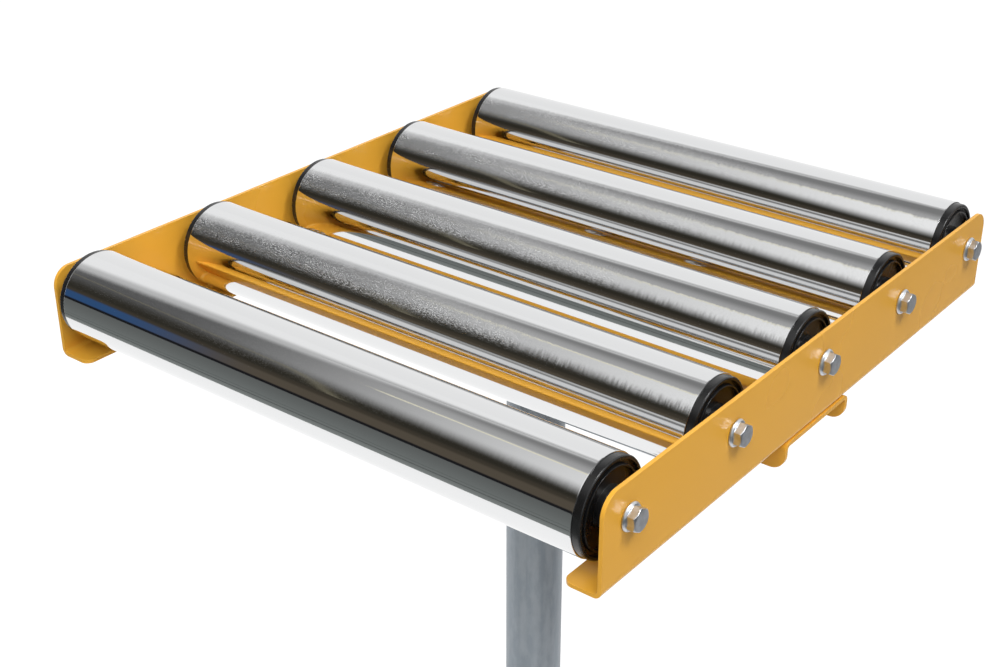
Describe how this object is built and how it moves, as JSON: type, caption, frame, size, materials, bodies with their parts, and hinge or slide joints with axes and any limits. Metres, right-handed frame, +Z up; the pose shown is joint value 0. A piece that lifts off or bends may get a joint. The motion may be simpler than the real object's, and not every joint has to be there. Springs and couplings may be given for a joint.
{
  "type": "roller stand",
  "caption": "Height-adjustable roller stand: free-turning polished rollers in a painted frame on a telescopic swivelling post with a clamp screw, on a base with levelling feet.",
  "frame": {"origin": "on the floor under the post, at the centre of the stand's footprint", "axes": "+Z up along the post, +X along the rollers to the right rail, +Y along the rails to the rear"},
  "size_m": [0.451, 0.526, 0.93],
  "materials": {
    "paint": "glossy orange-yellow powder coat",
    "zinc": "bright zinc plating",
    "steel": "plain mild steel, oiled",
    "galvanised": "dull galvanised tube",
    "bright_steel": "ground and drawn bright steel",
    "roller_steel": "polished tube with fine handling scratches",
    "cap_plastic": "black moulded plastic, slight sheen",
    "nylon": "black nylon",
    "brass": "plain turned brass",
    "knob_plastic": "black textured plastic",
    "foot_plastic": "black nylon foot"
  },
  "bodies": {
    "base": {"column": "paint", "column_flange": "paint", "gusset_plates": "paint", "clamp_boss": "paint", "base_spine": "paint", "spine_caps": "cap_plastic", "foot_beam_front": "paint", "foot_beam_rear": "paint", "beam_caps": "cap_plastic", "flange_bolts": "zinc", "beam_bolts": "zinc", "base_nuts": "zinc", "foot_inserts": "zinc", "foot_locknuts": "zinc"},
    "swivel_bush": {"guide_bush": "nylon"},
    "table": {"rail_left": "paint", "rail_right": "paint", "cross_ties": "paint", "cross_channel": "paint", "rail_bolts": "zinc", "head_nuts": "zinc", "head_plate": "steel", "head_plate_bolts": "zinc", "post": "galvanised", "post_plug": "nylon", "axle_1": "bright_steel", "axle_2": "bright_steel", "axle_3": "bright_steel", "axle_4": "bright_steel", "axle_5": "bright_steel", "axle_bolts_left": "zinc", "axle_bolts_right": "zinc", "spacer_sleeves": "zinc", "bearing_inner_rings": "bright_steel"},
    "roller_1": {"roller_tube_1": "roller_steel", "roller_caps_1": "cap_plastic", "bearings_1": "bright_steel"},
    "roller_2": {"roller_tube_2": "roller_steel", "roller_caps_2": "cap_plastic", "bearings_2": "bright_steel"},
    "roller_3": {"roller_tube_3": "roller_steel", "roller_caps_3": "cap_plastic", "bearings_3": "bright_steel"},
    "roller_4": {"roller_tube_4": "roller_steel", "roller_caps_4": "cap_plastic", "bearings_4": "bright_steel"},
    "roller_5": {"roller_tube_5": "roller_steel", "roller_caps_5": "cap_plastic", "bearings_5": "bright_steel"},
    "clamp_slider": {"clamp_pad": "brass"},
    "clamp_handle": {"clamp_screw": "zinc", "clamp_knob": "knob_plastic"},
    "foot_front_left": {"foot_pad_front_left": "foot_plastic"},
    "stud_front_left": {"foot_stud_front_left": "zinc"},
    "foot_front_right": {"foot_pad_front_right": "foot_plastic"},
    "stud_front_right": {"foot_stud_front_right": "zinc"},
    "foot_rear_left": {"foot_pad_rear_left": "foot_plastic"},
    "stud_rear_left": {"foot_stud_rear_left": "zinc"},
    "foot_rear_right": {"foot_pad_rear_right": "foot_plastic"},
    "stud_rear_right": {"foot_stud_rear_right": "zinc"}
  },
  "joints": [
    {"name": "swivel", "type": "hinge", "parent": "base", "child": "swivel_bush", "pos_m": [0, 0, 0.525], "axis": [0, 0, 1], "continuous": true},
    {"name": "height", "type": "slide", "parent": "swivel_bush", "child": "table", "axis": [0, 0, 1], "range_m": [-0.23, 0.1]},
    {"name": "roller_1_spin", "type": "hinge", "parent": "table", "child": "roller_1", "pos_m": [0, -0.211, 0.9], "axis": [1, 0, 0], "continuous": true},
    {"name": "roller_2_spin", "type": "hinge", "parent": "table", "child": "roller_2", "pos_m": [0, -0.1055, 0.9], "axis": [1, 0, 0], "continuous": true},
    {"name": "roller_3_spin", "type": "hinge", "parent": "table", "child": "roller_3", "pos_m": [0, 0, 0.9], "axis": [1, 0, 0], "continuous": true},
    {"name": "roller_4_spin", "type": "hinge", "parent": "table", "child": "roller_4", "pos_m": [0, 0.1055, 0.9], "axis": [1, 0, 0], "continuous": true},
    {"name": "roller_5_spin", "type": "hinge", "parent": "table", "child": "roller_5", "pos_m": [0, 0.211, 0.9], "axis": [1, 0, 0], "continuous": true},
    {"name": "clamp_travel", "type": "slide", "parent": "base", "child": "clamp_slider", "axis": [0, -1, 0], "range_m": [0, 0.003]},
    {"name": "clamp_turn", "type": "hinge", "parent": "clamp_slider", "child": "clamp_handle", "pos_m": [0, -0.0265, 0.458], "axis": [0, -1, 0], "range_deg": [0, 617]},
    {"name": "levelling_front_left", "type": "slide", "parent": "base", "child": "foot_front_left", "axis": [0, 0, 1], "range_m": [-0.008, 0.008]},
    {"name": "stud_turn_front_left", "type": "hinge", "parent": "foot_front_left", "child": "stud_front_left", "pos_m": [-0.19, -0.23, 0.009], "axis": [0, 0, 1], "range_deg": [-1925, 1925]},
    {"name": "levelling_front_right", "type": "slide", "parent": "base", "child": "foot_front_right", "axis": [0, 0, 1], "range_m": [-0.008, 0.008]},
    {"name": "stud_turn_front_right", "type": "hinge", "parent": "foot_front_right", "child": "stud_front_right", "pos_m": [0.19, -0.23, 0.009], "axis": [0, 0, 1], "range_deg": [-1925, 1925]},
    {"name": "levelling_rear_left", "type": "slide", "parent": "base", "child": "foot_rear_left", "axis": [0, 0, 1], "range_m": [-0.008, 0.008]},
    {"name": "stud_turn_rear_left", "type": "hinge", "parent": "foot_rear_left", "child": "stud_rear_left", "pos_m": [-0.19, 0.23, 0.009], "axis": [0, 0, 1], "range_deg": [-1925, 1925]},
    {"name": "levelling_rear_right", "type": "slide", "parent": "base", "child": "foot_rear_right", "axis": [0, 0, 1], "range_m": [-0.008, 0.008]},
    {"name": "stud_turn_rear_right", "type": "hinge", "parent": "foot_rear_right", "child": "stud_rear_right", "pos_m": [0.19, 0.23, 0.009], "axis": [0, 0, 1], "range_deg": [-1925, 1925]}
  ],
  "couplings": [
    {"joint": "clamp_travel", "follows": "clamp_turn", "m_per_rad": 0.00027852},
    {"joint": "stud_turn_front_left", "follows": "levelling_front_left", "rad_per_m": 4188.8},
    {"joint": "stud_turn_front_right", "follows": "levelling_front_right", "rad_per_m": 4188.8},
    {"joint": "stud_turn_rear_left", "follows": "levelling_rear_left", "rad_per_m": 4188.8},
    {"joint": "stud_turn_rear_right", "follows": "levelling_rear_right", "rad_per_m": 4188.8}
  ]
}
